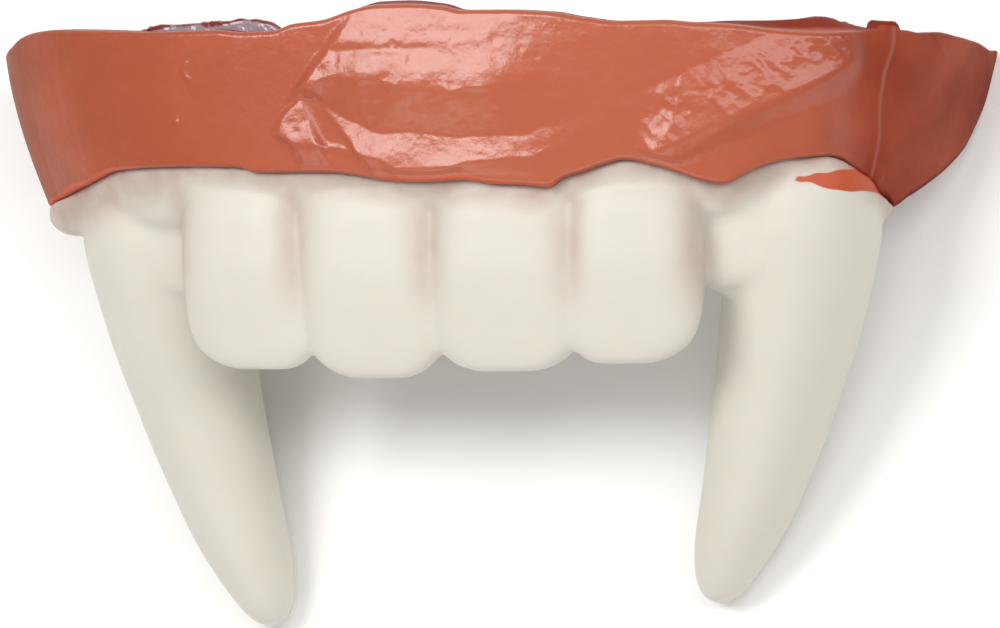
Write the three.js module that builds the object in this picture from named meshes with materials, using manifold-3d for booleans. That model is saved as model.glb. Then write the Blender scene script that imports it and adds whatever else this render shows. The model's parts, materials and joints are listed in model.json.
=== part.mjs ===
// Vampire fang denture, in millimetres: an ivory casting of four incisors and two long
// fangs on a gutter, a terracotta gum flange moulded over it, and a thin fitting liner.
// It is drawn as it is worn, +X to the viewer's right, +Y back into the mouth and +Z up,
// from the foremost point of the arch at the level of the gum line. The last lines lay it
// on its back, as it rests by itself.
import * as THREE from 'three';
import { mergeVertices } from 'three/addons/utils/BufferGeometryUtils.js';
import Module from 'manifold-3d';

// Arch: the plan curve that the gum's outer face follows
const HALF_WIDTH_LEFT = 34.1;
const HALF_WIDTH_RIGHT = 30.7;
const ARCH_DEPTH = 24;
const ARCH_POWER = 3;
const WING_ANGLE = 86.3;

// Gum flange
const RIM_HEIGHT = 10;
const FLANGE_THICKNESS = 1.8;
const WING_END_THICKNESS = 1.2;
const LAP_THICKNESS = 0.9;
const EDGE_ROUND = 0.35;
const TUCK_FRONT = 0.6;
const TUCK_SIDE = 2.6;
const TUCK_ANGLE = 60;
const TUCK_POWER = 1.6;
const LIP_SETBACK = 0.15;
const SEAM_ANGLE = 61.4;
const SEAM_WIDTH = 0.5;
const SEAM_RISE = 0.3;
const TAB_RISE = 0.5;
const TAB_HALF_ANGLE = 0.9;
const TAB_FADE_ANGLE = 0.6;

// Gutter of the tooth casting
const CASTING_ANGLE = 65.3;
const WALL_HEIGHT = 4;
const WALL_THICKNESS = 2;
const CHANNEL_DEPTH = 5.6;
const CHANNEL_WIDTH = 5.8;
const FLOOR_THICKNESS = 1.7;
const TONGUE_WALL_HEIGHT = 3.1;
const TONGUE_WALL_THICKNESS = 1.2;
const NECK_SETBACK = 0.8;
const NECK_TOP = 1;
const NECK_SLOPE = 1.4;
const END_SETBACK = 0.3;

// Incisors
const INCISOR_WIDTH = 9.3;
const INCISOR_LENGTH = 12.2;
const INCISOR_OVERLAP = 0.9;
const MIDLINE_SHIFT = -0.35;
const CROWN_DEPTH = 7;
const CROWN_SQUARENESS = 3;

// Fangs
const FANG_RADIUS = 4.8;
const FANG_LENGTH_LEFT = 28.3;
const FANG_LENGTH_RIGHT = 27.05;
const FANG_SPREAD = 22;
const FANG_SETBACK = 9.6;
const TIP_INSET_LEFT = 6.15;
const TIP_INSET_RIGHT = 7.7;
const WEB_BOTTOM = 7.4;
const WEB_RADIUS = 2.2;
const WEB_OVERLAP = 0.4;

// Liner and fits
const LINER_THICKNESS = 0.8;
const LINER_ANGLE = 62;
const CLEARANCE = 0.3;
const REST_LEAN = 12.5;

// Rim of the gum: height, and how far its back edge stands above it, as shares of RIM_HEIGHT
const RIM_LINE = [
  { angle: -86.3, height: 0.71, back: 0 },
  { angle: -82, height: 0.76, back: 0 },
  { angle: -76, height: 0.8, back: 0 },
  { angle: -69, height: 0.845, back: 0 },
  { angle: -64.2, height: 0.889, back: 0 },
  { angle: -60.4, height: 0.947, back: 0 },
  { angle: -56.7, height: 0.979, back: 0 },
  { angle: -53, height: 0.991, back: 0 },
  { angle: -48.9, height: 0.988, back: 0 },
  { angle: -43, height: 0.977, back: 0 },
  { angle: -39, height: 0.969, back: 0 },
  { angle: -31, height: 0.974, back: 0 },
  { angle: -27, height: 0.958, back: 0 },
  { angle: -22.8, height: 0.96, back: 0 },
  { angle: -19.8, height: 1.001, back: 0 },
  { angle: -15.4, height: 1.022, back: 0 },
  { angle: -10.8, height: 1.08, back: 0.01 },
  { angle: -6.9, height: 1.108, back: 0.02 },
  { angle: -2.9, height: 1.111, back: 0.02 },
  { angle: 3.4, height: 1.093, back: 0.01 },
  { angle: 6.5, height: 1.065, back: 0 },
  { angle: 13, height: 1.06, back: 0 },
  { angle: 20, height: 1.04, back: 0 },
  { angle: 24, height: 1.005, back: 0 },
  { angle: 29, height: 0.975, back: 0 },
  { angle: 34, height: 0.975, back: 0 },
  { angle: 37.5, height: 0.958, back: 0 },
  { angle: 42, height: 0.939, back: 0.02 },
  { angle: 47.7, height: 0.894, back: 0.06 },
  { angle: 53.5, height: 0.872, back: 0.09 },
  { angle: 57.5, height: 0.875, back: 0.04 },
  { angle: 60, height: 0.88, back: 0.01 },
  { angle: 64, height: 0.868, back: 0 },
  { angle: 67, height: 0.845, back: 0 },
  { angle: 69.8, height: 0.847, back: 0 },
  { angle: 74.2, height: 0.816, back: 0 },
  { angle: 80, height: 0.771, back: 0 },
  { angle: 86.3, height: 0.71, back: 0 },
];

// Lower edge of the gum: the scallops over the teeth and the wings' cut edges, as shares
// of RIM_HEIGHT
const GUM_LINE = [
  { angle: -86.3, height: 0.65 },
  { angle: -85.8, height: 0.57 },
  { angle: -84.9, height: 0.371 },
  { angle: -83.3, height: 0.217 },
  { angle: -81.6, height: 0.094 },
  { angle: -78.2, height: -0.013 },
  { angle: -74, height: -0.1 },
  { angle: -70, height: -0.15 },
  { angle: -64.7, height: -0.122 },
  { angle: -59.1, height: -0.078 },
  { angle: -54.4, height: -0.024 },
  { angle: -51.3, height: 0.016 },
  { angle: -48.9, height: 0.054 },
  { angle: -46.2, height: 0.097 },
  { angle: -41, height: 0.116 },
  { angle: -36.7, height: 0.12 },
  { angle: -28.3, height: 0.109 },
  { angle: -26.2, height: 0.076 },
  { angle: -21, height: 0.073 },
  { angle: -15, height: 0.069 },
  { angle: -12, height: 0.054 },
  { angle: -7.4, height: 0.02 },
  { angle: -1, height: 0.002 },
  { angle: 5.5, height: 0.01 },
  { angle: 10.2, height: -0.017 },
  { angle: 14.7, height: -0.027 },
  { angle: 18.4, height: -0.044 },
  { angle: 20.6, height: 0.012 },
  { angle: 23.4, height: 0.047 },
  { angle: 26.1, height: 0.088 },
  { angle: 28.7, height: 0.116 },
  { angle: 32.5, height: 0.081 },
  { angle: 36.2, height: 0.015 },
  { angle: 38.7, height: -0.032 },
  { angle: 41.1, height: -0.047 },
  { angle: 44, height: 0.023 },
  { angle: 46.9, height: 0.074 },
  { angle: 50.6, height: 0.099 },
  { angle: 53.8, height: 0.105 },
  { angle: 56, height: 0.077 },
  { angle: 57.7, height: 0.024 },
  { angle: 61.4, height: -0.057 },
  { angle: 63.5, height: -0.136 },
  { angle: 65.4, height: -0.189 },
  { angle: 66.4, height: -0.238 },
  { angle: 69.8, height: -0.185 },
  { angle: 73.7, height: -0.111 },
  { angle: 78.2, height: -0.013 },
  { angle: 81.6, height: 0.094 },
  { angle: 83.3, height: 0.217 },
  { angle: 84.9, height: 0.371 },
  { angle: 85.8, height: 0.57 },
  { angle: 86.3, height: 0.65 },
];

// Broad swellings and hollows of the gum's face: middle and half size along the arch in
// degrees, middle and half size up the face as shares of RIM_HEIGHT, rise as a share of
// FLANGE_THICKNESS
const SWELLINGS = [
  { name: 'upper ridge', angle: 1, spread: 17, height: 0.83, reach: 0.13, rise: 0.24 },
  { name: 'lower ridge', angle: 4, spread: 17, height: 0.34, reach: 0.12, rise: 0.22 },
  { name: 'valley', angle: 3, spread: 17, height: 0.58, reach: 0.08, rise: -0.14 },
  { name: 'facet', angle: -20, spread: 3.5, height: 0.44, reach: 0.2, rise: 0.16 },
  { name: 'left root', angle: -46, spread: 7, height: 0.35, reach: 0.4, rise: 0.12 },
  { name: 'right root', angle: 45, spread: 7, height: 0.5, reach: 0.35, rise: 0.18 },
  { name: 'seam hollow', angle: 57, spread: 2.5, height: 0.5, reach: 0.5, rise: -0.1 },
];

// How far the liner's ragged upper edge stands above the rim, as a share of RIM_HEIGHT
const LINER_LINE = [
  { angle: -62, over: -0.06 },
  { angle: -46, over: -0.04 },
  { angle: -43, over: 0.01 },
  { angle: -40, over: 0.05 },
  { angle: -36.5, over: 0.045 },
  { angle: -34, over: 0.056 },
  { angle: -31, over: 0.06 },
  { angle: -28.2, over: 0.08 },
  { angle: -25.9, over: 0.074 },
  { angle: -23.6, over: 0.03 },
  { angle: -21.5, over: -0.04 },
  { angle: 38, over: -0.05 },
  { angle: 58, over: 0.02 },
  { angle: 62, over: -0.02 },
];

// Incisors from the left: width and length as shares of INCISOR_WIDTH and INCISOR_LENGTH,
// how far the edge leans to the right, how much it narrows to the edge, and how much more
// its outer corner is rounded, as shares of its width
const INCISORS = [
  { name: 'left lateral', width: 0.903, length: 0.95, lean: 0.1, taper: 0.02, rounder: 0.5 },
  { name: 'left central', width: 0.98, length: 1, lean: 0.07, taper: 0.07, rounder: 0.1 },
  { name: 'right central', width: 1.005, length: 0.973, lean: 0.01, taper: 0.02, rounder: 0 },
  { name: 'right lateral', width: 0.866, length: 0.943, lean: -0.03, taper: 0.03, rounder: -0.4 },
];

// Incisor crown from its edge up: height as a share of its length, width as a share of its
// width, depth and the labial face's setback as shares of CROWN_DEPTH
const INCISOR_SECTIONS = [
  { up: 0, width: 0.4, depth: 0.16, setback: 0.17 },
  { up: 0.02, width: 0.57, depth: 0.24, setback: 0.14 },
  { up: 0.06, width: 0.74, depth: 0.32, setback: 0.11 },
  { up: 0.12, width: 0.88, depth: 0.39, setback: 0.08 },
  { up: 0.17, width: 0.93, depth: 0.44, setback: 0.065 },
  { up: 0.24, width: 0.97, depth: 0.5, setback: 0.05 },
  { up: 0.36, width: 0.99, depth: 0.62, setback: 0.02 },
  { up: 0.55, width: 1, depth: 0.78, setback: 0 },
  { up: 0.75, width: 1, depth: 0.94, setback: 0.02 },
  { up: 0.9, width: 1, depth: 1, setback: 0.06 },
  { up: 1, width: 0.99, depth: 0.98, setback: 0.11 },
  { up: 1.08, width: 0.97, depth: 0.92, setback: 0.16 },
];

// Fang from the gum line down: share of its length, radius as a share of FANG_RADIUS, and
// how much of the tip's inset and sweep it has by then
const FANG_SECTIONS = [
  { down: -0.05, radius: 0.76, inset: -0.02, sweep: 0 },
  { down: 0, radius: 0.85, inset: 0, sweep: 0 },
  { down: 0.07, radius: 0.95, inset: 0.03, sweep: 0.07 },
  { down: 0.15, radius: 1, inset: 0.07, sweep: 0.15 },
  { down: 0.3, radius: 0.96, inset: 0.19, sweep: 0.3 },
  { down: 0.4, radius: 0.915, inset: 0.28, sweep: 0.4 },
  { down: 0.5, radius: 0.845, inset: 0.38, sweep: 0.5 },
  { down: 0.6, radius: 0.785, inset: 0.49, sweep: 0.6 },
  { down: 0.7, radius: 0.71, inset: 0.61, sweep: 0.7 },
  { down: 0.8, radius: 0.63, inset: 0.74, sweep: 0.8 },
  { down: 0.87, radius: 0.54, inset: 0.845, sweep: 0.87 },
  { down: 0.93, radius: 0.42, inset: 0.93, sweep: 0.93 },
  { down: 0.97, radius: 0.3, inset: 0.975, sweep: 0.97 },
  { down: 0.99, radius: 0.19, inset: 0.99, sweep: 0.99 },
  { down: 1, radius: 0.07, inset: 1, sweep: 1 },
];

const STATION_SPACING = 1.15;
const RING_SIDES = 20;

const radians = THREE.MathUtils.degToRad;
const smoothstep = THREE.MathUtils.smoothstep;

// Value of a table's column at an angle, by a cubic that passes through the rows and
// turns level wherever they stop rising or falling, so it never overshoots them
function readColumn(table, column, angle) {
  const last = table.length - 1;
  const x = THREE.MathUtils.clamp(angle, table[0].angle, table[last].angle);
  let i = 0;
  while (i < last - 1 && table[i + 1].angle < x) i++;
  const step = (k) => (table[k + 1][column] - table[k][column]) / (table[k + 1].angle - table[k].angle);
  const slope = (k) => {
    if (k === 0 || k === last) return 0;
    const [before, after] = [step(k - 1), step(k)];
    return before * after > 0 ? (2 * before * after) / (before + after) : 0;
  };
  const width = table[i + 1].angle - table[i].angle;
  const t = (x - table[i].angle) / width;
  const rise = table[i + 1][column] - table[i][column];
  const blend = t * t * (3 - 2 * t);
  return (
    table[i][column] +
    rise * blend +
    width * t * (1 - t) * ((1 - t) * slope(i) - t * slope(i + 1))
  );
}

// Point on the plan curve, a superellipse about the middle of the arch's back
function planPoint(angle) {
  const a = radians(angle);
  const halfWidth = angle < 0 ? HALF_WIDTH_LEFT : HALF_WIDTH_RIGHT;
  const across = (Math.abs(Math.sin(a)) / halfWidth) ** ARCH_POWER;
  const deep = (Math.abs(Math.cos(a)) / ARCH_DEPTH) ** ARCH_POWER;
  const reach = (across + deep) ** (-1 / ARCH_POWER);
  return new THREE.Vector2(reach * Math.sin(a), ARCH_DEPTH - reach * Math.cos(a));
}

// Directions at an angle of the arch: along it, and out of it towards the lips
function archFrame(angle) {
  const small = 0.05;
  const along = planPoint(angle + small).sub(planPoint(angle - small)).normalize();
  return { at: planPoint(angle), along, out: new THREE.Vector2(along.y, -along.x) };
}

// Point of the arch at an angle, some way out of the plan curve and up
function archPoint(angle, out, height) {
  const frame = archFrame(angle);
  const p = frame.at.addScaledVector(frame.out, out);
  return new THREE.Vector3(p.x, p.y, height);
}

// Angles from one to the other at even steps along the curve, with the extra ones put in
function stations(from, to, spacing, extra = []) {
  const fine = 2000;
  const angles = [from];
  let walked = 0;
  let previous = planPoint(from);
  const lengths = [];
  for (let i = 1; i <= fine; i++) {
    const angle = from + ((to - from) * i) / fine;
    const point = planPoint(angle);
    walked += point.distanceTo(previous);
    lengths.push({ angle, walked });
    previous = point;
  }
  const count = Math.round(walked / spacing);
  for (let i = 1; i < count; i++) {
    const target = (walked * i) / count;
    angles.push(lengths.find((row) => row.walked >= target).angle);
  }
  angles.push(to);
  const clearOfExtra = angles.filter((a) =>
    extra.every((e) => planPoint(a).distanceTo(planPoint(e)) > spacing * 0.3),
  );
  return [...clearOfExtra, ...extra].sort((a, b) => a - b);
}

// How far the gum's face leans in below the rim: little in front, more at the sides
function skin(angle, height) {
  const side = Math.min(1, Math.abs(angle) / TUCK_ANGLE) ** 4;
  const tuck = TUCK_FRONT + (TUCK_SIDE - TUCK_FRONT) * side;
  const low = -0.15 * RIM_HEIGHT;
  const high = 0.9 * RIM_HEIGHT;
  const down = 1 - THREE.MathUtils.clamp((height - low) / (high - low), 0, 1);
  return -tuck * down ** TUCK_POWER;
}

const rimHeight = (angle) => readColumn(RIM_LINE, 'height', angle) * RIM_HEIGHT;
const rimBack = (angle) => readColumn(RIM_LINE, 'back', angle) * RIM_HEIGHT;
const gumLine = (angle) => readColumn(GUM_LINE, 'height', angle) * RIM_HEIGHT;

// Inner face of the thin lap that lies over the casting, and the casting's face under it
const lapFace = (angle, height) => skin(angle, height) - LAP_THICKNESS;
const castFace = (angle, height) => lapFace(angle, height) - CLEARANCE;

// Rise of the gum's face: its swellings, faded out at the lower edge, and the seam rib
function relief(angle, height) {
  let rise = 0;
  for (const s of SWELLINGS) {
    const x = (angle - s.angle) / s.spread;
    const y = (height / RIM_HEIGHT - s.height) / s.reach;
    rise += s.rise * FLANGE_THICKNESS * Math.exp(-x * x - y * y);
  }
  const above = smoothstep(height - gumLine(angle), 0, LAP_THICKNESS);
  const fromSeam = planPoint(angle).distanceTo(planPoint(SEAM_ANGLE));
  return rise * above + SEAM_RISE * Math.max(0, 1 - fromSeam / SEAM_WIDTH);
}

// Closed body through rings of points. outlines are flat copies of the first and last
// rings, for their caps. Faces are turned out by the sign of the enclosed volume.
function loft(rings, outlines) {
  const sides = rings[0].length;
  const positions = rings.flat().flatMap((p) => [p.x, p.y, p.z]);
  const index = [];
  for (let r = 0; r + 1 < rings.length; r++) {
    for (let s = 0; s < sides; s++) {
      const a = r * sides + s;
      const b = r * sides + ((s + 1) % sides);
      index.push(a, b, b + sides, a, b + sides, a + sides);
    }
  }
  const lastRing = (rings.length - 1) * sides;
  for (const [k, offset] of [[0, 0], [1, lastRing]]) {
    const faces = THREE.ShapeUtils.triangulateShape(outlines[k], []);
    const turned = THREE.ShapeUtils.area(outlines[k]) > 0;
    for (const [a, b, c] of faces) {
      const forward = turned === (k === 1);
      index.push(offset + a, offset + (forward ? b : c), offset + (forward ? c : b));
    }
  }
  const geometry = new THREE.BufferGeometry();
  geometry.setAttribute('position', new THREE.Float32BufferAttribute(positions, 3));
  geometry.setIndex(index);
  return enclosedVolume(geometry) < 0 ? turnedOver(geometry) : geometry;
}

function enclosedVolume(geometry) {
  const p = geometry.attributes.position;
  const [a, b, c] = [new THREE.Vector3(), new THREE.Vector3(), new THREE.Vector3()];
  let volume = 0;
  for (let i = 0; i < geometry.index.count; i += 3) {
    a.fromBufferAttribute(p, geometry.index.getX(i));
    b.fromBufferAttribute(p, geometry.index.getX(i + 1));
    c.fromBufferAttribute(p, geometry.index.getX(i + 2));
    volume += a.dot(b.cross(c)) / 6;
  }
  return volume;
}

function turnedOver(geometry) {
  const index = [...geometry.index.array];
  for (let i = 0; i < index.length; i += 3) {
    [index[i + 1], index[i + 2]] = [index[i + 2], index[i + 1]];
  }
  geometry.setIndex(index);
  return geometry;
}

// Body swept along the arch: sectionAt(angle) gives its outline as [out, height] pairs
function sweep(angles, sectionAt) {
  const sections = angles.map(sectionAt);
  const rings = sections.map((section, i) =>
    section.map(([out, height]) => archPoint(angles[i], out, height)),
  );
  const flat = (section) => section.map(([out, height]) => new THREE.Vector2(out, height));
  return loft(rings, [flat(sections[0]), flat(sections.at(-1))]);
}

const wasm = await Module();
wasm.setup();

function solid(geometry) {
  const merged = mergeVertices(geometry, 1e-5);
  return new wasm.Manifold(
    new wasm.Mesh({
      numProp: 3,
      vertProperties: new Float32Array(merged.attributes.position.array),
      triVerts: new Uint32Array(merged.index.array),
    }),
  );
}

function geometryOf(body) {
  const mesh = body.getMesh();
  const geometry = new THREE.BufferGeometry();
  geometry.setAttribute('position', new THREE.Float32BufferAttribute(mesh.vertProperties, 3));
  geometry.setIndex([...mesh.triVerts]);
  return geometry;
}

// Gum flange: the face from its edge up to the rim, over the rim, down its back to the
// step above the casting's wall, and down inside the lap
const LAP_STEP = WALL_HEIGHT + CLEARANCE;
const POCKET_ANGLE = CASTING_ANGLE + 0.7;

function flangeSection(angle) {
  const [low, high, back] = [gumLine(angle), rimHeight(angle), rimBack(angle)];
  const fromTab = Math.abs(angle - SEAM_ANGLE - 0.2);
  const tab = TAB_RISE * (1 - smoothstep(fromTab, TAB_HALF_ANGLE, TAB_HALF_ANGLE + TAB_FADE_ANGLE));
  const top = high + tab;
  const round = Math.min(EDGE_ROUND, (top - low) / 5);
  const wing = smoothstep(Math.abs(angle), CASTING_ANGLE, WING_ANGLE);
  const thickness = THREE.MathUtils.lerp(FLANGE_THICKNESS, WING_END_THICKNESS, wing);
  const inPocket = Math.abs(angle) < POCKET_ANGLE;
  const step = inPocket ? LAP_STEP : low + (top - low) * 0.6;
  const lap = inPocket ? LAP_THICKNESS : thickness;

  const outline = [];
  const faceRows = 9;
  for (let i = 0; i <= faceRows; i++) {
    const height = low + (top - round - low) * (i / faceRows);
    const lip = i === 0 ? -LIP_SETBACK : 0;
    outline.push([skin(angle, height) + relief(angle, height) + lip, height]);
  }
  const rim = skin(angle, top) + relief(angle, top);
  outline.push([rim - round, top]);
  outline.push([skin(angle, top) - thickness + round, top + back]);
  const backTop = top + back - round;
  for (const share of [1, 0.5, 0]) {
    const height = step + (backTop - step) * share;
    outline.push([skin(angle, height) - thickness, height]);
  }
  for (const share of [1, 0.66, 0.33, 0]) {
    const height = low + LIP_SETBACK + (step - low - LIP_SETBACK) * share;
    outline.push([skin(angle, height) - lap, height]);
  }
  return outline;
}

const flangeStations = stations(-WING_ANGLE, WING_ANGLE, STATION_SPACING, [
  -86,
  -POCKET_ANGLE - 0.3,
  -POCKET_ANGLE + 0.01,
  SEAM_ANGLE - 0.9,
  SEAM_ANGLE,
  SEAM_ANGLE + 0.9,
  SEAM_ANGLE + 1.7,
  POCKET_ANGLE - 0.01,
  POCKET_ANGLE + 0.3,
  86,
]);

// Gutter: the labial wall behind the lap, the flat floor that the wearer's teeth bite on
// and the low wall on the tongue's side
const FLOOR_LEVEL = WALL_HEIGHT - CHANNEL_DEPTH;
const GUTTER_BOTTOM = FLOOR_LEVEL - FLOOR_THICKNESS;
const TONGUE_TOP = FLOOR_LEVEL + TONGUE_WALL_HEIGHT;
const GUM_OVER_WALL = LAP_THICKNESS + CLEARANCE + WALL_THICKNESS;

function gutterSection(angle) {
  const base = skin(angle, GUTTER_BOTTOM);
  const atEnd = smoothstep(Math.abs(angle), CASTING_ANGLE - 15, CASTING_ANGLE - 5);
  const setback = THREE.MathUtils.lerp(NECK_SETBACK, END_SETBACK, atEnd);
  const turn = FLOOR_THICKNESS * 0.45;
  const under = turn * THREE.MathUtils.lerp(1.8, 1, atEnd);
  const lowest = GUTTER_BOTTOM + under * 1.3;
  const neck = (height) => {
    const down = Math.max(0, (NECK_TOP - height) / (NECK_TOP - GUTTER_BOTTOM));
    return skin(angle, height) - setback - NECK_SLOPE * (1 - atEnd) * down ** 1.5;
  };
  const face = [1, 0.75, 0.5, 0.25, 0].map((share) => {
    const height = lowest + (WALL_HEIGHT - lowest) * share;
    return [neck(height), height];
  });
  const foot = neck(lowest);
  const channelFront = base - GUM_OVER_WALL;
  const channelBack = channelFront - CHANNEL_WIDTH;
  const tongue = channelBack - TONGUE_WALL_THICKNESS;
  return [
    ...face,
    [foot - under * 0.3, GUTTER_BOTTOM + under * 0.8],
    [foot - under, GUTTER_BOTTOM + under * 0.25],
    [foot - under * 1.7, GUTTER_BOTTOM],
    [tongue + turn * 2.4, GUTTER_BOTTOM],
    [tongue + turn * 0.8, GUTTER_BOTTOM + turn * 0.5],
    [tongue, GUTTER_BOTTOM + turn * 1.8],
    [tongue + 0.1, TONGUE_TOP],
    [channelBack, TONGUE_TOP],
    [channelBack, FLOOR_LEVEL],
    [channelFront, FLOOR_LEVEL],
    [skin(angle, WALL_HEIGHT) - GUM_OVER_WALL, WALL_HEIGHT],
  ];
}

// The space that the wearer's teeth go into, cut through the roots of the crowns
function channelSection(angle) {
  const front = skin(angle, GUTTER_BOTTOM) - GUM_OVER_WALL;
  const above = WALL_HEIGHT * 3;
  const back = front - CHANNEL_WIDTH;
  const past = back - CROWN_DEPTH;
  return [
    [front, FLOOR_LEVEL],
    [skin(angle, WALL_HEIGHT) - GUM_OVER_WALL, WALL_HEIGHT],
    [skin(angle, WALL_HEIGHT) - GUM_OVER_WALL, above],
    [past, above],
    [past, TONGUE_TOP],
    [back, TONGUE_TOP],
    [back, FLOOR_LEVEL],
  ];
}

// The space in front of the casting's face that the lap fills, with its clearance
function lapSpaceSection(angle) {
  const low = gumLine(angle) - CLEARANCE;
  const outline = [0, 0.25, 0.5, 0.75, 1].map((share) => {
    const height = low + (WALL_HEIGHT + 1 - low) * share;
    return [castFace(angle, height), height];
  });
  return [...outline, [CROWN_DEPTH, WALL_HEIGHT + 1], [CROWN_DEPTH, low]];
}

// Upright body of rounded sections, each { centre, along, out, halfWidth, halfDepth, height }
function stack(sections, power) {
  const rings = sections.map((s) => {
    const ring = [];
    for (let i = 0; i < RING_SIDES; i++) {
      const t = (2 * Math.PI * i) / RING_SIDES;
      const curve = (v) => Math.sign(v) * Math.abs(v) ** (2 / power);
      const p = s.centre
        .clone()
        .addScaledVector(s.along, s.halfWidth * curve(Math.cos(t)))
        .addScaledVector(s.out, s.halfDepth * curve(Math.sin(t)));
      ring.push(new THREE.Vector3(p.x, p.y, s.height));
    }
    return ring;
  });
  const flat = (ring) => ring.map((p) => new THREE.Vector2(p.x, p.y));
  return loft(rings, [flat(rings[0]), flat(rings.at(-1))]);
}

// One incisor, its middle at a distance along the arch
function incisor(tooth, distance) {
  const angle = angleAt(distance);
  const frame = archFrame(angle);
  const face = skin(angle, GUTTER_BOTTOM);
  const width = tooth.width * INCISOR_WIDTH;
  const sections = INCISOR_SECTIONS.map((row) => {
    const depth = row.depth * CROWN_DEPTH;
    const out = face - row.setback * CROWN_DEPTH - depth / 2;
    const lean = tooth.lean * width * Math.max(0, 1 - row.up);
    const corner = (tooth.rounder * width * (1 - row.width)) / 4;
    const narrowed = 1 - tooth.taper * Math.max(0, 1 - row.up);
    return {
      centre: frame.at
        .clone()
        .addScaledVector(frame.out, out)
        .addScaledVector(frame.along, lean + corner),
      along: frame.along,
      out: frame.out,
      halfWidth: (row.width * narrowed * (width + INCISOR_OVERLAP)) / 2,
      halfDepth: depth / 2,
      height: tooth.length * INCISOR_LENGTH * (row.up - 1),
    };
  });
  return stack(sections, CROWN_SQUARENESS);
}

// Angle at a distance along the arch from the middle, to the right if it is positive
function angleAt(distance) {
  const step = 0.02 * Math.sign(distance);
  let angle = 0;
  let walked = 0;
  while (walked < Math.abs(distance)) {
    walked += planPoint(angle + step).distanceTo(planPoint(angle));
    angle += step;
  }
  return angle;
}

// Each fang is swept back until it touches the flat surface that the wings' ends lie on
function fang(side, length, inset, restReach) {
  const lean = Math.tan(radians(REST_LEAN));
  const sweeps = FANG_SECTIONS.filter((row) => row.sweep > 0.5).map((row) => {
    const limit = restReach - row.down * length * lean;
    return (limit - FANG_SETBACK - row.radius * FANG_RADIUS) / row.sweep;
  });
  const sweepBack = Math.min(...sweeps);
  const sections = FANG_SECTIONS.map((row) => ({
    centre: new THREE.Vector2(
      side * (FANG_SPREAD - row.inset * inset),
      FANG_SETBACK + row.sweep * sweepBack,
    ),
    along: new THREE.Vector2(1, 0),
    out: new THREE.Vector2(0, -1),
    halfWidth: row.radius * FANG_RADIUS,
    halfDepth: row.radius * FANG_RADIUS,
    height: -row.down * length,
  }));
  return stack(sections, 2);
}

// Web of acrylic that joins the lateral incisor to the fang beside it
function web(side) {
  const middle = new THREE.Vector2(side * (FANG_SPREAD - FANG_RADIUS + WEB_OVERLAP), FANG_SETBACK * 0.75);
  const shares = [[0.25, 0], [0.7, 0.06], [0.95, 0.2], [1, 0.5], [1, 1]];
  const sections = shares.map(([size, up]) => ({
    centre: middle,
    along: new THREE.Vector2(1, 0),
    out: new THREE.Vector2(0, -1),
    halfWidth: size * WEB_RADIUS,
    halfDepth: size * WEB_RADIUS,
    height: -WEB_BOTTOM + (WEB_BOTTOM + FLOOR_LEVEL) * up,
  }));
  return stack(sections, 2);
}

function toothCasting(restReach) {
  const ends = stations(-CASTING_ANGLE, CASTING_ANGLE, STATION_SPACING * 1.2);
  const past = stations(-CASTING_ANGLE - 4, CASTING_ANGLE + 4, STATION_SPACING * 1.2);
  let distance = MIDLINE_SHIFT - INCISOR_WIDTH * (INCISORS[0].width + INCISORS[1].width);
  const incisors = INCISORS.map((tooth) => {
    const half = (tooth.width * INCISOR_WIDTH) / 2;
    distance += half;
    const crown = incisor(tooth, distance);
    distance += half;
    return crown;
  });
  const pieces = [
    sweep(ends, gutterSection),
    ...incisors,
    fang(-1, FANG_LENGTH_LEFT, TIP_INSET_LEFT, restReach),
    fang(1, FANG_LENGTH_RIGHT, TIP_INSET_RIGHT, restReach),
    web(-1),
    web(1),
  ];
  const joined = pieces.map(solid).reduce((a, b) => a.add(b));
  const cut = joined
    .subtract(solid(sweep(past, channelSection)))
    .subtract(solid(sweep(past, lapSpaceSection)));
  return geometryOf(cut);
}

// Liner: a thin layer on the flange's back, from the top of the casting's wall to the rim
function linerSection(angle) {
  const low = LAP_STEP;
  const over = readColumn(LINER_LINE, 'over', angle) * RIM_HEIGHT;
  const high = rimHeight(angle) + rimBack(angle) + over;
  const front = (height) => skin(angle, height) - FLANGE_THICKNESS - CLEARANCE;
  const rows = [0, 0.33, 0.66, 1].map((share) => low + (high - 0.15 - low) * share);
  return [
    ...rows.map((height) => [front(height), height]),
    [front(high) - LINER_THICKNESS / 2, high],
    ...rows.reverse().map((height) => [front(height) - LINER_THICKNESS, height]),
  ];
}

const gumPaint = new THREE.MeshStandardMaterial({ color: 0xb8624a, roughness: 0.38, metalness: 0 });
const ivoryAcrylic = new THREE.MeshStandardMaterial({ color: 0xe9e3d6, roughness: 0.42, metalness: 0 });
const linerResin = new THREE.MeshStandardMaterial({ color: 0x9d858a, roughness: 0.2, metalness: 0 });

function named(name, geometry, material) {
  const mesh = new THREE.Mesh(geometry, material);
  mesh.name = name;
  geometry.computeVertexNormals();
  return mesh;
}

const flangeGeometry = sweep(flangeStations, flangeSection);

// Level of the flat surface behind the wings' ends, read where the arch's frame has z = 0
const corners = flangeGeometry.attributes.position;
let restReach = -Infinity;
for (let i = 0; i < corners.count; i++) {
  const reach = corners.getY(i) - corners.getZ(i) * Math.tan(radians(REST_LEAN));
  restReach = Math.max(restReach, reach);
}

const denture = new THREE.Group();
denture.add(named('gum_flange', flangeGeometry, gumPaint));
denture.add(named('tooth_casting', toothCasting(restReach), ivoryAcrylic));
denture.add(
  named(
    'fitting_liner',
    sweep(stations(-LINER_ANGLE, LINER_ANGLE, STATION_SPACING), linerSection),
    linerResin,
  ),
);

// Laid on its back, on the wings' ends and the backs of the fangs, over the origin
denture.rotation.x = -radians(90 - REST_LEAN);
denture.updateMatrixWorld(true);
const box = new THREE.Box3().setFromObject(denture, true);
const middle = box.getCenter(new THREE.Vector3());
denture.position.set(-middle.x, -middle.y, -box.min.z);

export default denture;
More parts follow.
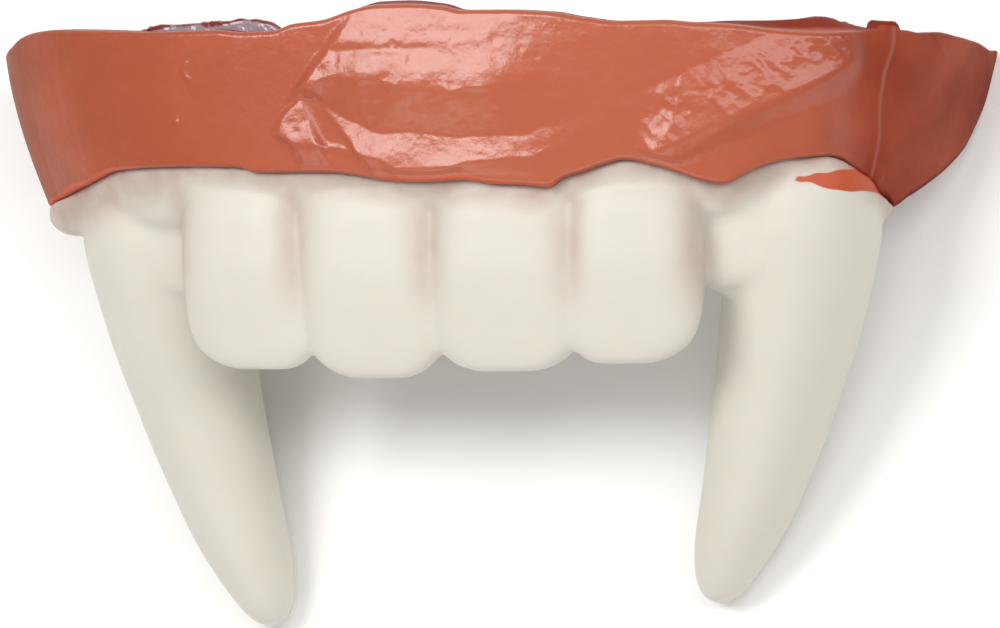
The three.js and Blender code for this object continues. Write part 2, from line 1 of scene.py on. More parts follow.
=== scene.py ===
import json

import bmesh
import bpy
import numpy as np
from mathutils import Matrix


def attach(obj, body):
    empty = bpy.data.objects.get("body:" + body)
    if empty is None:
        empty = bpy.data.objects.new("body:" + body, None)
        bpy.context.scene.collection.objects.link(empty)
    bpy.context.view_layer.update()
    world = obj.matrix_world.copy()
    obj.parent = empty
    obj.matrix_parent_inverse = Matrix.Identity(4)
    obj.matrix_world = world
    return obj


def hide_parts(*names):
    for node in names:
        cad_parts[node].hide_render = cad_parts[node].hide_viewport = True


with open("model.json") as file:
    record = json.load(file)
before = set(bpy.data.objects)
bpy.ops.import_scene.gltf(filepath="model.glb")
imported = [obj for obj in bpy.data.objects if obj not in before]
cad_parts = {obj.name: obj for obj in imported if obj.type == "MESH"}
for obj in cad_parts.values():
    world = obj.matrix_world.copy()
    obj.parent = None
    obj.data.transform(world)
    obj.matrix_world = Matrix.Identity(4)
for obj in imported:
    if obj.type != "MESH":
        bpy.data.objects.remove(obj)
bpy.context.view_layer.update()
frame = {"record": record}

# Camera: the photograph's view of the front, a little from the viewer's right and above.
# The denture is described as it is worn, in millimetres: across to the viewer's right, back
# into the mouth and up, from the arch's foremost point. The biting mount says how it lies.
VIEW_TURN, VIEW_RISE, VIEW_ROLL = np.radians((20.0, 2.0, 1.5))
PIXELS_PER_MM = 16.1
CAMERA_DISTANCE = 800.0
SENSOR_WIDTH = 36.0
NEAR_CLIP, FAR_CLIP = 0.1, 10.0
PHOTO_WIDTH, PHOTO_HEIGHT = 1000, 628
GUM_MIDDLE = np.array((0.0, 1.2, 0.0))
GUM_MIDDLE_PIXEL = (430, 182)
SEAT_BACK, SEAT_UP = 6.7, -1.6

seat = frame["record"]["mounts"][0]
UP = np.array(seat["axis"])
ACROSS = np.array((1.0, 0.0, 0.0))
BACK = np.cross(UP, ACROSS)
WORN = np.stack((ACROSS, BACK, UP))
MIDDLE = np.array(seat["pos_m"]) - 0.001 * (SEAT_BACK * BACK + SEAT_UP * UP)


def laid(points):
    """Points of the worn denture in millimetres, where they lie in the frame, in metres."""
    return MIDDLE + 0.001 * (np.asarray(points) @ WORN)


def add_object(name, data):
    """New object of some data, in the scene."""
    made = bpy.data.objects.new(name, data)
    bpy.context.scene.collection.objects.link(made)
    return made


def turned(right, up, backward, place):
    """Matrix whose columns are three worn directions and a worn place."""
    axes = np.stack((right, up, backward)) @ WORN
    return Matrix([[*axes[:, i], laid(place)[i]] for i in range(3)] + [[0, 0, 0, 1]])


backward = np.array((
    np.sin(VIEW_TURN) * np.cos(VIEW_RISE),
    -np.cos(VIEW_TURN) * np.cos(VIEW_RISE),
    np.sin(VIEW_RISE),
))
level = np.array((np.cos(VIEW_TURN), np.sin(VIEW_TURN), 0.0))
upright = np.cross(backward, level)
right = level * np.cos(VIEW_ROLL) - upright * np.sin(VIEW_ROLL)
up = level * np.sin(VIEW_ROLL) + upright * np.cos(VIEW_ROLL)
aim = GUM_MIDDLE + right * (PHOTO_WIDTH / 2 - GUM_MIDDLE_PIXEL[0]) / PIXELS_PER_MM
aim = aim - up * (PHOTO_HEIGHT / 2 - GUM_MIDDLE_PIXEL[1]) / PIXELS_PER_MM

camera = add_object("camera", bpy.data.cameras.new("camera"))
camera.data.sensor_width = SENSOR_WIDTH
camera.data.lens = SENSOR_WIDTH * PIXELS_PER_MM * CAMERA_DISTANCE / PHOTO_WIDTH
camera.data.clip_start = NEAR_CLIP
camera.data.clip_end = FAR_CLIP
camera.matrix_world = turned(right, up, backward, aim + backward * CAMERA_DISTANCE)
bpy.context.scene.camera = camera
bpy.context.scene.view_settings.view_transform = "Standard"

# Tooth casting: four incisors and two long fangs on a gutter, poured in one piece of ivory
# acrylic. The gutter slips over the wearer's own teeth, and the gum flange's thin lap
# lies over the upper part of its front wall.
HALF_WIDTH_LEFT = 34.1
HALF_WIDTH_RIGHT = 30.7
ARCH_DEPTH = 24.0
ARCH_POWER = 3.0
ARCH_END = 92
ANGLE_STEP = 0.05
TUCK_FRONT, TUCK_SIDE, TUCK_ANGLE = 0.6, 2.6, 60.0
TUCK_LOW, TUCK_HIGH, TUCK_POWER = -1.5, 9.0, 1.6
LAP_THICKNESS = 0.9
SEATED_GAP = 0.1
CASTING_ANGLE, CASTING_RINGS = 66.4, 120
CUT_PAST_END, CUT_PAST_WALL = 4, 1
WALL_HEIGHT, WALL_THICKNESS = 4.0, 2.0
FLOOR_LEVEL, FLOOR_THICKNESS = -1.6, 1.7
CHANNEL_WIDTH = 5.8
TONGUE_TOP, TONGUE_THICKNESS, TONGUE_TAPER = 1.5, 1.2, 0.1
NECK_SETBACK, END_SETBACK = 0.6, -0.2
END_BLEND_START, END_BLEND = 15, 10
GUTTER_BOTTOM = FLOOR_LEVEL - FLOOR_THICKNESS
GUM_CLEARANCE = 0.3
GUM_OVER_WALL = LAP_THICKNESS + GUM_CLEARANCE + WALL_THICKNESS
INCISOR_WIDTH, INCISOR_LENGTH, INCISOR_OVERLAP = 9.3, 12.2, 0.9
MIDLINE_SHIFT = -0.35
CROWN_DEPTH, CROWN_SQUARENESS = 7.0, 3.0
FANG_RADIUS, FANG_SPREAD, FANG_SETBACK = 4.8, 22.0, 9.6
NECK_TOP, NECK_SLOPE, NECK_POWER = 1.0, 1.4, 1.5
WEB_BOTTOM, WEB_RADIUS, WEB_OVERLAP = 7.4, 2.3, 0.2
WEB_SETBACK, WEB_AT_FANG, WEB_INTO_FANG = 0.76, 0.95, 0.5
VOXEL = 0.26
SMOOTHING_FACTOR, SMOOTHING_ROUNDS = 0.5, 7

# Lower edge of the gum, which is also where the teeth come out: angle, height
GUM_LINE = np.array((
    (-86.3, 6.5), (-85.8, 5.7), (-84.9, 3.71), (-83.3, 2.17), (-81.6, 0.94), (-78.2, -0.13),
    (-74, -1.0), (-70, -1.5), (-64.7, -1.22), (-59.1, -0.78), (-54.4, -0.24), (-51.3, 0.16),
    (-48.9, 0.54), (-46.2, 0.97), (-41, 1.16), (-36.7, 1.2), (-28.3, 1.09), (-26.2, 0.76),
    (-21, 0.73), (-15, 0.69), (-12, 0.54), (-7.4, 0.2), (-1, 0.02), (5.5, 0.1), (10.2, -0.17),
    (14.7, -0.27), (18.4, -0.44), (20.6, 0.12), (23.4, 0.47), (26.1, 0.88), (28.7, 1.16),
    (32.5, 0.81), (36.2, 0.15), (38.7, -0.32), (41.1, -0.47), (44, 0.23), (46.9, 0.74),
    (50.6, 0.99), (53.8, 1.05), (56, 0.77), (57.7, 0.24), (61.4, -0.57), (63.5, -1.36),
    (65.4, -1.89), (66.4, -2.38), (69.8, -1.85), (73.7, -1.11), (78.2, -0.13), (81.6, 0.94),
    (83.3, 2.17), (84.9, 3.71), (85.8, 5.7), (86.3, 6.5),
))

# Incisors from the left: width and length as shares, lean of the edge to the right, taper
# to the edge, and how much more the outer corner is rounded
INCISORS = (
    (0.903, 0.95, 0.1, 0.02, 0.5),
    (0.98, 1.0, 0.07, 0.07, 0.1),
    (1.005, 0.973, 0.01, 0.02, 0.0),
    (0.866, 0.943, -0.03, 0.03, -0.4),
)

# Crown from its edge up: height as a share of its length, width as a share of its width,
# depth and setback as shares of the crown's depth
CROWN_ROWS = np.array((
    (0, 0.4, 0.16, 0.17), (0.02, 0.57, 0.24, 0.14), (0.06, 0.74, 0.32, 0.11),
    (0.12, 0.88, 0.39, 0.08), (0.17, 0.93, 0.44, 0.065), (0.24, 0.97, 0.5, 0.05),
    (0.36, 0.99, 0.62, 0.02), (0.55, 1, 0.78, 0), (0.75, 1, 0.94, 0.02), (0.82, 0.99, 0.98, 0.03),
    (0.88, 0.965, 0.98, 0.05), (0.94, 0.91, 0.96, 0.08), (1, 0.82, 0.93, 0.13), (1.08, 0.6, 0.84, 0.2),
))

# Fang from the gum line down: share of its length, radius as a share, and how much of the
# tip's inset and sweep it has by then
FANG_ROWS = np.array((
    (-0.05, 0.76, -0.02, 0), (0, 0.85, 0, 0), (0.07, 0.95, 0.03, 0.07), (0.15, 1, 0.07, 0.15),
    (0.3, 0.96, 0.19, 0.3), (0.4, 0.915, 0.28, 0.4), (0.5, 0.845, 0.38, 0.5),
    (0.6, 0.785, 0.49, 0.6), (0.7, 0.71, 0.61, 0.7), (0.8, 0.63, 0.74, 0.8),
    (0.87, 0.54, 0.845, 0.87), (0.93, 0.42, 0.93, 0.93), (0.97, 0.3, 0.975, 0.97),
    (0.99, 0.19, 0.99, 0.99), (1, 0.07, 1, 1),
))

# The two fangs: side, length, how far the tip leans in, how far it sweeps back
FANGS = ((-1, 28.3, 6.15, 3.28), (1, 27.05, 7.7, 3.56))

# The webs between lateral incisor and fang: side, top
WEBS = ((-1, -1.7), (1, 1.0))
WEBS_TOWARD_FANG = (0, 0.25, 0.5, 0.75)

# Web from the bottom up: height and radius as shares
WEB_ROWS = np.array(((0, 0.25), (0.06, 0.7), (0.2, 0.95), (0.5, 1), (1, 1)))

# The gutter's rounded lower corners, as shares of their radius: inward and up
FRONT_CORNER = ((0.3, 0.8), (1, 0.25), (1.7, 0))
TONGUE_CORNER = ((2.4, 0), (0.8, 0.5), (0, 1.8))
CORNER_RADIUS, CORNER_AT_NECK, CORNER_HEIGHT = 0.45 * FLOOR_THICKNESS, 1.8, 1.3


def ease(x):
    """Smooth step: 0 below 0, 1 above 1, and a cubic between."""
    x = np.clip(x, 0, 1)
    return x * x * (3 - 2 * x)


def follow(table, at, column=1):
    """Cubic through a table's rows, level where they turn, so that it never overshoots."""
    x, y = table[:, 0], table[:, column]
    rise = np.diff(y) / np.diff(x)
    before, after = rise[:-1], rise[1:]
    slope = np.zeros_like(y)
    product = before * after
    total = np.where(product > 0, before + after, 1)
    slope[1:-1] = np.where(product > 0, 2 * product / total, 0)
    at = np.clip(at, x[0], x[-1])
    i = np.clip(np.searchsorted(x, at) - 1, 0, len(x) - 2)
    width = x[i + 1] - x[i]
    t = (at - x[i]) / width
    bend = (1 - t) * slope[i] - t * slope[i + 1]
    return y[i] + (y[i + 1] - y[i]) * t * t * (3 - 2 * t) + width * t * (1 - t) * bend


def plan(angle):
    """Point of the plan curve at an angle: a superellipse about the middle of the arch's back."""
    turn = np.radians(angle)
    half = np.where(np.asarray(angle) < 0, HALF_WIDTH_LEFT, HALF_WIDTH_RIGHT)
    across = (np.abs(np.sin(turn)) / half) ** ARCH_POWER
    deep = (np.abs(np.cos(turn)) / ARCH_DEPTH) ** ARCH_POWER
    reach = (across + deep) ** (-1 / ARCH_POWER)
    return np.stack((reach * np.sin(turn), ARCH_DEPTH - reach * np.cos(turn)), -1)


def heading(angle):
    """Unit direction along the plan curve, from the difference of two near points."""
    along = plan(np.asarray(angle) + ANGLE_STEP) - plan(np.asarray(angle) - ANGLE_STEP)
    return along / np.linalg.norm(along, axis=-1, keepdims=True)


def arch(angle, out, height):
    """Points at angles of the arch, some way out of the plan curve along its normal, and up."""
    angle, out, height = np.broadcast_arrays(angle, out, height)
    at, along = plan(angle), heading(angle)
    return np.stack((at[..., 0] + out * along[..., 1], at[..., 1] - out * along[..., 0], height), -1)


FINE_ANGLES = np.linspace(-ARCH_END, ARCH_END, 9201)
STRIDES = np.linalg.norm(np.diff(plan(FINE_ANGLES), axis=0), axis=1)
WALKED = np.concatenate(([0], np.cumsum(STRIDES)))
WALKED = WALKED - np.interp(0, FINE_ANGLES, WALKED)


def distance_at(angle):
    """Length of the plan curve from its middle to an angle."""
    return np.interp(angle, FINE_ANGLES, WALKED)


def stations(start, end, count):
    """Angles from start to end at even steps along the plan curve."""
    return np.interp(np.linspace(distance_at(start), distance_at(end), count), WALKED, FINE_ANGLES)


def skin(angle, height):
    """Plain face of the gum: it leans in below the rim, little in front, more at the sides."""
    side = np.minimum(1, np.abs(angle) / TUCK_ANGLE) ** 4
    down = 1 - np.clip((height - TUCK_LOW) / (TUCK_HIGH - TUCK_LOW), 0, 1)
    return -(TUCK_FRONT + (TUCK_SIDE - TUCK_FRONT) * side) * down**TUCK_POWER


def along_arch(angle, outline):
    """Rings along the arch from an outline's corners, each an out and a height at every angle."""
    out = np.stack([np.broadcast_to(o, angle.shape) for o, _ in outline], -1)
    height = np.stack([np.broadcast_to(h, angle.shape) for _, h in outline], -1)
    return arch(angle[:, None], out, height)


def closed_mesh(name, rings):
    """Closed body through rings of points: ring to ring by quads, the ends closed flat."""
    count, sides = rings.shape[:2]
    r, s = np.meshgrid(np.arange(count - 1), np.arange(sides), indexing="ij")
    near, far = r * sides + s, r * sides + (s + 1) % sides
    faces = np.stack((near, far, far + sides, near + sides), -1).reshape(-1, 4).tolist()
    faces.append(list(range(sides))[::-1])
    faces.append(list(range((count - 1) * sides, count * sides)))
    mesh = bpy.data.meshes.new(name)
    mesh.from_pydata(laid(rings.reshape(-1, 3)), [], faces)
    bm = bmesh.new()
    bm.from_mesh(mesh)
    bmesh.ops.recalc_face_normals(bm, faces=bm.faces)
    bm.to_mesh(mesh)
    bm.free()
    return mesh


def finished(body):
    """Mesh of an object with its modifiers applied. The object itself goes."""
    ready = body.evaluated_get(bpy.context.evaluated_depsgraph_get())
    made = bpy.data.meshes.new_from_object(ready)
    bpy.data.objects.remove(body)
    return made


def gutter(angle):
    """U section: front wall whose neck slopes in, flat floor, low wall on the tongue's side."""
    at_end = ease((np.abs(angle) - CASTING_ANGLE + END_BLEND_START) / END_BLEND)
    setback = NECK_SETBACK + (END_SETBACK - NECK_SETBACK) * at_end
    front = skin(angle, GUTTER_BOTTOM) - GUM_OVER_WALL
    channel_back = front - CHANNEL_WIDTH
    tongue = channel_back - TONGUE_THICKNESS
    under = CORNER_RADIUS * (CORNER_AT_NECK + (1 - CORNER_AT_NECK) * at_end)
    lowest = GUTTER_BOTTOM + under * CORNER_HEIGHT
    outline = []
    for share in np.linspace(1, 0, 9):
        height = lowest + (WALL_HEIGHT - lowest) * share
        down = np.maximum(0, (NECK_TOP - height) / (NECK_TOP - GUTTER_BOTTOM))
        foot = skin(angle, height) - setback - NECK_SLOPE * (1 - at_end) * down**NECK_POWER
        outline.append((foot, height))
    outline += [(foot - under * inward, GUTTER_BOTTOM + under * rise) for inward, rise in FRONT_CORNER]
    for inward, rise in TONGUE_CORNER:
        outline.append((tongue + CORNER_RADIUS * inward, GUTTER_BOTTOM + CORNER_RADIUS * rise))
    outline += [
        (tongue + TONGUE_TAPER, TONGUE_TOP),
        (channel_back, TONGUE_TOP),
        (channel_back, FLOOR_LEVEL),
        (front, FLOOR_LEVEL),
        (skin(angle, WALL_HEIGHT) - GUM_OVER_WALL, WALL_HEIGHT),
    ]
    return along_arch(angle, outline)


def tooth_space(angle):
    """The space that the wearer's teeth go into, open above and over the tongue's wall."""
    front = skin(angle, GUTTER_BOTTOM) - GUM_OVER_WALL
    wall = skin(angle, WALL_HEIGHT) - GUM_OVER_WALL
    back = front - CHANNEL_WIDTH
    above = WALL_HEIGHT * 3
    outline = [(front, FLOOR_LEVEL), (wall, WALL_HEIGHT), (wall, above), (back - CROWN_DEPTH, above)]
    outline += [(back - CROWN_DEPTH, TONGUE_TOP), (back, TONGUE_TOP), (back, FLOOR_LEVEL)]
    return along_arch(angle, outline)


def lap_space(angle):
    """The space in front of the casting that the gum's lap fills."""
    low = follow(GUM_LINE, angle)
    high = WALL_HEIGHT + CUT_PAST_WALL
    outline = []
    for share in np.linspace(0, 1, 6):
        height = low + (high - low) * share
        outline.append((skin(angle, height) - LAP_THICKNESS - SEATED_GAP, height))
    outline += [(CROWN_DEPTH, high), (CROWN_DEPTH, low)]
    return along_arch(angle, outline)


def rounded_stack(centre, along, half_width, half_depth, height, power, sides=72):
    """Upright body of superellipse rings round a line of centres."""
    t = 2 * np.pi * np.arange(sides) / sides
    wide = np.sign(np.cos(t)) * np.abs(np.cos(t)) ** (2 / power)
    deep = np.sign(np.sin(t)) * np.abs(np.sin(t)) ** (2 / power)
    out = np.array((along[1], -along[0]))
    flat = centre[:, None] + (half_width[:, None] * wide)[..., None] * along
    flat = flat + (half_depth[:, None] * deep)[..., None] * out
    return np.concatenate((flat, np.broadcast_to(height[:, None, None], flat.shape[:2] + (1,))), -1)


def incisor(tooth, distance):
    """Crown of superellipse sections, its middle at a distance along the arch."""
    wide, tall, lean, taper, rounder = tooth
    angle = float(np.interp(distance, WALKED, FINE_ANGLES))
    along = heading(angle)
    share = np.concatenate((np.linspace(0, 0.2, 24), np.linspace(0.22, 1.08, 40)))
    width, depth, setback = (follow(CROWN_ROWS, share, column) for column in (1, 2, 3))
    across = wide * INCISOR_WIDTH
    depth = depth * CROWN_DEPTH
    out = skin(angle, GUTTER_BOTTOM) - setback * CROWN_DEPTH - depth / 2
    shift = lean * across * np.maximum(0, 1 - share) + rounder * across * (1 - width) / 4
    narrowed = 1 - taper * np.maximum(0, 1 - share)
    centre = plan(angle) + out[:, None] * np.array((along[1], -along[0])) + shift[:, None] * along
    half_width = width * narrowed * (across + INCISOR_OVERLAP) / 2
    height = tall * INCISOR_LENGTH * (share - 1)
    return rounded_stack(centre, along, half_width, depth / 2, height, CROWN_SQUARENESS)


def fang(side, length, inset, sweep):
    """Round fang that narrows to its tip, leans in and sweeps back."""
    share = np.concatenate((np.linspace(-0.05, 0.9, 60), np.linspace(0.91, 1, 19)))
    radius = FANG_RADIUS * follow(FANG_ROWS, share)
    x = side * (FANG_SPREAD - inset * follow(FANG_ROWS, share, 2))
    y = FANG_SETBACK + sweep * follow(FANG_ROWS, share, 3)
    return rounded_stack(np.stack((x, y), -1), ACROSS[:2], radius, radius, -length * share, 2)


def web(side, top, toward_fang):
    """Round web between a lateral incisor and the fang beside it. Some way toward the fang, it
    is as much wider, so that several together make one smooth face with the fang."""
    share = np.linspace(0, 1, 16)
    full = WEB_RADIUS + (FANG_RADIUS * WEB_AT_FANG - WEB_RADIUS) * toward_fang
    radius = full * follow(WEB_ROWS, share)
    start = np.array((FANG_SPREAD - FANG_RADIUS + WEB_OVERLAP, FANG_SETBACK * WEB_SETBACK))
    end = np.array((FANG_SPREAD - WEB_INTO_FANG, FANG_SETBACK + WEB_INTO_FANG))
    middle = (start + (end - start) * toward_fang) * (side, 1)
    centres = np.broadcast_to(middle, (len(share), 2))
    height = -WEB_BOTTOM + (WEB_BOTTOM + top) * share
    return rounded_stack(centres, ACROSS[:2], radius, radius, height, 2)


past = stations(-CASTING_ANGLE - CUT_PAST_END, CASTING_ANGLE + CUT_PAST_END, CASTING_RINGS)
cutters = [add_object("cutter", closed_mesh("cutter", space(past))) for space in (tooth_space, lap_space)]
crowns = [fang(*row) for row in FANGS]
crowns += [web(*row, toward_fang) for row in WEBS for toward_fang in WEBS_TOWARD_FANG]
border = MIDLINE_SHIFT - INCISOR_WIDTH * (INCISORS[0][0] + INCISORS[1][0])
tooth_borders = [border]
for tooth in INCISORS:
    crowns.append(incisor(tooth, border + tooth[0] * INCISOR_WIDTH / 2))
    border += tooth[0] * INCISOR_WIDTH
    tooth_borders.append(border)

joined = bmesh.new()
trough = gutter(stations(-CASTING_ANGLE, CASTING_ANGLE, CASTING_RINGS))
for rings, cuts in [(trough, cutters[1:]), *[(crown, cutters) for crown in crowns]]:
    body = add_object("casting_body", closed_mesh("casting_body", rings))
    for cutter in cuts:
        cut = body.modifiers.new("cut", "BOOLEAN")
        cut.operation = "DIFFERENCE"
        cut.solver = "EXACT"
        cut.object = cutter
    joined.from_mesh(finished(body))
casting_mesh = bpy.data.meshes.new("casting_blank")
joined.to_mesh(casting_mesh)
joined.free()
for cutter in cutters:
    bpy.data.objects.remove(cutter)

blank = add_object("casting_blank", casting_mesh)
fused = blank.modifiers.new("fused", "REMESH")
fused.mode = "VOXEL"
fused.voxel_size = VOXEL * 0.001
softened = blank.modifiers.new("softened", "SMOOTH")
softened.factor = SMOOTHING_FACTOR
softened.iterations = SMOOTHING_ROUNDS
casting = add_object("tooth_casting_cast", finished(blank))
casting.data.name = "tooth_casting_cast"


def worn_points(mesh):
    """A mesh's vertices as points of the worn denture, in millimetres."""
    flat = np.empty(len(mesh.vertices) * 3, np.float32)
    mesh.vertices.foreach_get("co", flat)
    return 1000 * (flat.reshape(-1, 3) - MIDDLE) @ WORN.T


def arch_angle(points):
    """Angle of the plan curve's nearest point, by Newton steps from the ray's angle."""
    angle = np.degrees(np.arctan2(points[:, 0], ARCH_DEPTH - points[:, 1]))
    for _ in range(6):
        step = (plan(angle + ANGLE_STEP) - plan(angle - ANGLE_STEP)) / (2 * ANGLE_STEP)
        gap = points[:, :2] - plan(angle)
        angle = np.clip(angle + (gap * step).sum(-1) / (step * step).sum(-1), -ARCH_END, ARCH_END)
    return angle


def set_attribute(mesh, name, values):
    """Stores one number at every vertex."""
    attribute = mesh.attributes.new(name, "FLOAT", "POINT")
    attribute.data.foreach_set("value", values.astype(np.float32).ravel())


def shade_smooth(mesh):
    """All faces smooth."""
    mesh.polygons.foreach_set("use_smooth", np.ones(len(mesh.polygons), bool))
    mesh.update()


# Smear of gum paint on the white beside the right fang, with ripples along its edges:
# angle, upper and lower edge
SMEAR_START, SMEAR_END = 49, 67
SMEAR_RIPPLE, RIPPLES_ACROSS, RIPPLES_UP = 0.05, 5.1, 2.3
SMEAR = np.array((
    (49, -0.31, -0.31), (50.2, -0.16, -0.48), (51.6, -0.06, -0.62), (53, 0.05, -0.88), (54.3, 0.1, -1.1),
    (57.3, 0.25, -1.2),
    (61.1, 0.0, -1.4), (63.8, -0.8, -1.65), (66.7, -1.5, -2.5),
))
# How far the pinkish tint reaches below the gum, partly gum paint and partly painted shade of the recessed
# necks, deepest at the left end where it is painted shade under the gum: angle, depth
TINGE_AND_SHADE_DEPTH = np.array((
    (-66, 7.0), (-60, 6.0), (-52, 4.2), (-44, 3.6), (-34, 1.6), (-20, 2.0), (0, 2.2), (14, 2.4),
    (20, 1.8), (36, 1.6), (43, 2.6), (50, 2.2), (66, 2.6),
))
# Grooves between the teeth: painted shade in the same pinkish colour; width, strength, lowest height, fade
GROOVE_WIDTH, GROOVE_SHADE, GROOVE_LOW, GROOVE_FADE = 1.1, 0.6, 9.0, 4
# Smear and pinkish tint lie on the casting's front only, no further in than this from the plan curve
SMEAR_DEEPEST, TINGE_DEEPEST, TINGE_FADE = -3, -5.2, 1.5

spots = worn_points(casting.data)
spot_angle = arch_angle(spots)
below_gum = follow(GUM_LINE, spot_angle) - spots[:, 2]
spot_way = heading(spot_angle)
spot_gap = spots[:, :2] - plan(spot_angle)
spot_out = spot_gap[:, 0] * spot_way[:, 1] - spot_gap[:, 1] * spot_way[:, 0]
ragged = SMEAR_RIPPLE * np.sin(RIPPLES_ACROSS * spots[:, 0] + RIPPLES_UP * spots[:, 2])
inside = np.minimum(follow(SMEAR, spot_angle, 1) - spots[:, 2], spots[:, 2] - follow(SMEAR, spot_angle, 2))
smeared = (spot_angle > SMEAR_START) & (spot_angle < SMEAR_END) & (spot_out > SMEAR_DEEPEST)
set_attribute(casting.data, "smear", np.where(smeared, inside + ragged, -1.0))
# Pinkish tint under the gum: partly gum paint, partly painted shade of the recessed necks; the grooves add
# painted shade
tinge_and_shade = ease(1 - below_gum / follow(TINGE_AND_SHADE_DEPTH, spot_angle))
for border in tooth_borders:
    groove_shade = np.exp(-(((distance_at(spot_angle) - border) / GROOVE_WIDTH) ** 2))
    groove_shade = groove_shade * ease((spots[:, 2] + GROOVE_LOW) / GROOVE_FADE) * GROOVE_SHADE
    tinge_and_shade = np.maximum(tinge_and_shade, groove_shade)
set_attribute(casting.data, "tinge_and_shade", tinge_and_shade * ease((spot_out - TINGE_DEEPEST) / TINGE_FADE))
shade_smooth(casting.data)


def colour(code):
    """Linear colour with alpha of an sRGB hex code."""
    srgb = np.array([int(code[i : i + 2], 16) / 255 for i in (1, 3, 5)])
    linear = np.where(srgb <= 0.04045, srgb / 12.92, ((srgb + 0.055) / 1.055) ** 2.4)
    return (*linear.tolist(), 1.0)


def node(tree, kind, inputs=None, **settings):
    """Adds a node with its settings. inputs gives sockets a value or a socket to link from."""
    made = tree.nodes.new(kind)
    for key, value in settings.items():
        setattr(made, key, value)
    for key, value in (inputs or {}).items():
        if isinstance(value, bpy.types.NodeSocket):
            tree.links.new(value, made.inputs[key])
        else:
            made.inputs[key].default_value = value
    return made


def new_material(name, piece):
    """Empty material on a piece: its node tree, its shader and its place in real millimetres."""
    material = bpy.data.materials.new(name)
    material.use_nodes = True
    piece.data.materials.append(material)
    tree = material.node_tree
    place = node(tree, "ShaderNodeTexCoord").outputs["Object"]
    millimetres = node(tree, "ShaderNodeMapping", {"Vector": place, "Scale": (1000, 1000, 1000)})
    return tree, tree.nodes["Principled BSDF"], millimetres.outputs[0]


def mixed(tree, share, first, second):
    """Colour between two, by a share."""
    return node(tree, "ShaderNodeMix", {0: share, 6: first, 7: second}, data_type="RGBA").outputs[2]


def ranged(tree, value, low, high):
    """0 to 1 as a value goes from low to high, eased."""
    inputs = {"Value": value, "From Min": low, "From Max": high}
    return node(tree, "ShaderNodeMapRange", inputs, interpolation_type="SMOOTHSTEP").outputs[0]


def straight(tree, value, low, high, first, last):
    """Number from first to last, in a straight line, as a value goes from low to high."""
    inputs = {"Value": value, "From Min": low, "From Max": high, "To Min": first, "To Max": last}
    return node(tree, "ShaderNodeMapRange", inputs).outputs[0]


def maths(tree, operation, first, second):
    """Two numbers added, multiplied or one taken from the other."""
    return node(tree, "ShaderNodeMath", {0: first, 1: second}, operation=operation).outputs[0]


def noise(tree, place, scale, detail):
    """Smooth noise about 0.5 over a place in millimetres."""
    inputs = {"Vector": place, "Scale": scale, "Detail": detail}
    return node(tree, "ShaderNodeTexNoise", inputs).outputs["Fac"]


def read(tree, name):
    """Number stored at the vertices."""
    return node(tree, "ShaderNodeAttribute", attribute_name=name).outputs["Fac"]


def rippled(tree, shader, height, strength, distance):
    """Gives a shader's face fine relief: its height, how strong it shows, its depth in metres."""
    bump = node(tree, "ShaderNodeBump", {"Height": height, "Strength": strength, "Distance": distance})
    tree.links.new(bump.outputs[0], shader.inputs["Normal"])


# Satin cast acrylic, as poured and hand polished: a soft ivory that light goes into, with a pinkish tint at
# the necks
# and in the grooves: partly gum paint wiped away, partly painted shade of the recessed necks and of the
# grooves between teeth.
tree, shader, place = new_material("satin_cast_acrylic", casting)
ivory = mixed(tree, noise(tree, place, 0.18, 2), colour("#d0cabf"), colour("#d4cfc4"))
patchiness = straight(tree, noise(tree, place, 0.55, 3), 0.3, 0.7, 0.55, 1.0)
# Pinkish-grey at the necks and grooves: part gum paint, part painted shade
ivory = mixed(tree, maths(tree, "MULTIPLY", read(tree, "tinge_and_shade"), patchiness), ivory, colour("#b0968a"))
smear_share = ranged(tree, read(tree, "smear"), -0.03, 0.05)
ivory = mixed(tree, smear_share, ivory, colour("#b84a20"))
tree.links.new(ivory, shader.inputs["Base Color"])
shader.inputs["Roughness"].default_value = 0.46
shader.inputs["IOR"].default_value = 1.49
shader.inputs["Subsurface Weight"].default_value = 0.25
shader.inputs["Subsurface Radius"].default_value = (1.0, 0.75, 0.55)
shader.inputs["Subsurface Scale"].default_value = 0.0012
rippled(tree, shader, noise(tree, place, 0.7, 3), 0.25, 0.0001)

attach(casting, "root")
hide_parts("tooth_casting")

# Gum flange: a shell of acrylic moulded over the casting and painted terracotta by hand, with
# sculpted ridges in front, a hammered patch and a seam on the right, and cut wing ends.
WING_ANGLE, FLANGE_RINGS = 86.3, 620
FLANGE_THICKNESS, WING_END_THICKNESS = 1.8, 1.2
RIM_ROUND, EDGE_ROUND = 0.35, 0.4
POCKET_ANGLE = 66.0
LAP_STEP = WALL_HEIGHT + GUM_CLEARANCE
LAP_FOOT = 0.12
SEAM_ANGLE, SEAM_WIDTH, SEAM_RISE = 61.4, 0.24, 0.12
TAB_RISE, TAB_HALF, TAB_BLEND, TAB_PAST_SEAM = 0.5, 0.9, 0.6, 0.2
UPPER_SLOPE, LOWER_RISE, FACET_SLOPE = 0.15, 0.4, 0.14
UPPER_END, UPPER_FADE = 9, 16
LOWER_DROP, LOWER_END, LOWER_FADE = 0.35, 15, 10
PIT_DEPTH, PIT_SIZE, WAVE_RISE, WAVE_SIZE = 0.05, 0.55, 0.035, 3.2
PATCH_DEPTH, PATCH_RISE = 0.15, 0.6

